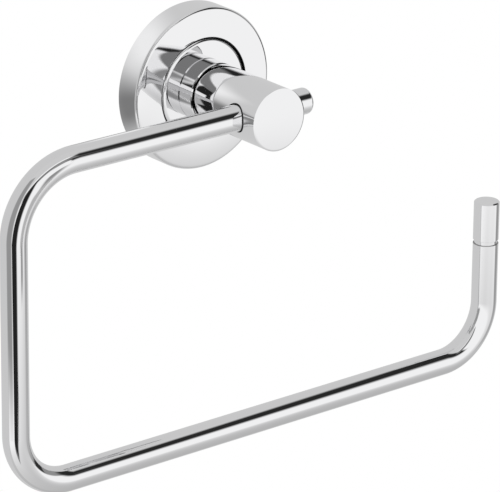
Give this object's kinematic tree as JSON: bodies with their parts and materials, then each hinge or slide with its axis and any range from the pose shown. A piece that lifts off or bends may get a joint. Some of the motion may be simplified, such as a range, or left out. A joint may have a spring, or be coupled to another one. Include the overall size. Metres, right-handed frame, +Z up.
{
  "type": "toilet roll holder",
  "caption": "Wall-mounted toilet roll holder: an open ring of bent chromed bar that swings in a turned post on a round rosette with concealed fixing.",
  "frame": {"origin": "middle of the rosette's back face, on the wall, on the post's axis", "axes": "+Y into the wall, so the post points along -Y into the room; +X to the right for someone facing the wall; +Z up"},
  "size_m": [0.1877, 0.0445, 0.1268],
  "materials": {
    "polished_chrome": "mirror-bright chrome plate",
    "zinc_plated_steel": "satin zinc plate",
    "stainless_steel": "bright drawn stainless steel"
  },
  "bodies": {
    "wall_fitting": {"rosette": "polished_chrome", "wall_bracket": "zinc_plated_steel", "rosette_grub_screw": "stainless_steel", "post": "polished_chrome", "post_washer": "zinc_plated_steel", "post_screw": "zinc_plated_steel", "bar_grub_screw": "stainless_steel"},
    "ring": {"bar": "polished_chrome", "bar_tip_cap": "polished_chrome", "bar_end_plug": "polished_chrome"}
  },
  "joints": [
    {"name": "ring_swing", "type": "hinge", "parent": "wall_fitting", "child": "ring", "pos_m": [0, -0.0353, 0], "axis": [-1, 0, 0], "range_deg": [-18, 198]}
  ]
}
